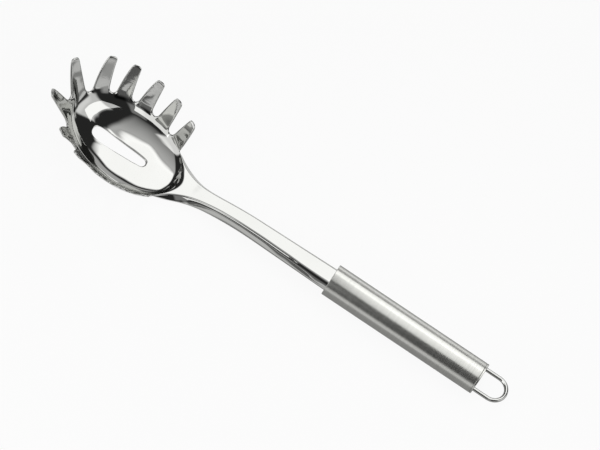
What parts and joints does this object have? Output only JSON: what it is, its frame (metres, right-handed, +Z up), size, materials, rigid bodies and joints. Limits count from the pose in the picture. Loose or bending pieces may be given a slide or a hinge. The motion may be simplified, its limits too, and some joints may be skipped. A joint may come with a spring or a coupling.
{
  "type": "pasta server",
  "caption": "Stainless steel pasta server: toothed oval bowl with a drain slot, channel shank, brushed tube handle and a wire hanging loop.",
  "frame": {"origin": "middle of the bounding box at its base, on the table under the middle of the shank", "axes": "+X along the tool towards the hanging loop, +Z up out of the bowl, Y across the tool"},
  "size_m": [0.3263, 0.0784, 0.0365],
  "materials": {
    "polished_steel": "mirror polished",
    "brushed_steel": "brushed round the tube",
    "polished_wire": "bright drawn wire"
  },
  "bodies": {
    "root": {"server_head": "polished_steel", "handle_tube": "brushed_steel", "front_cap": "brushed_steel", "rear_cap": "brushed_steel", "hanging_loop": "polished_wire"}
  },
  "joints": []
}
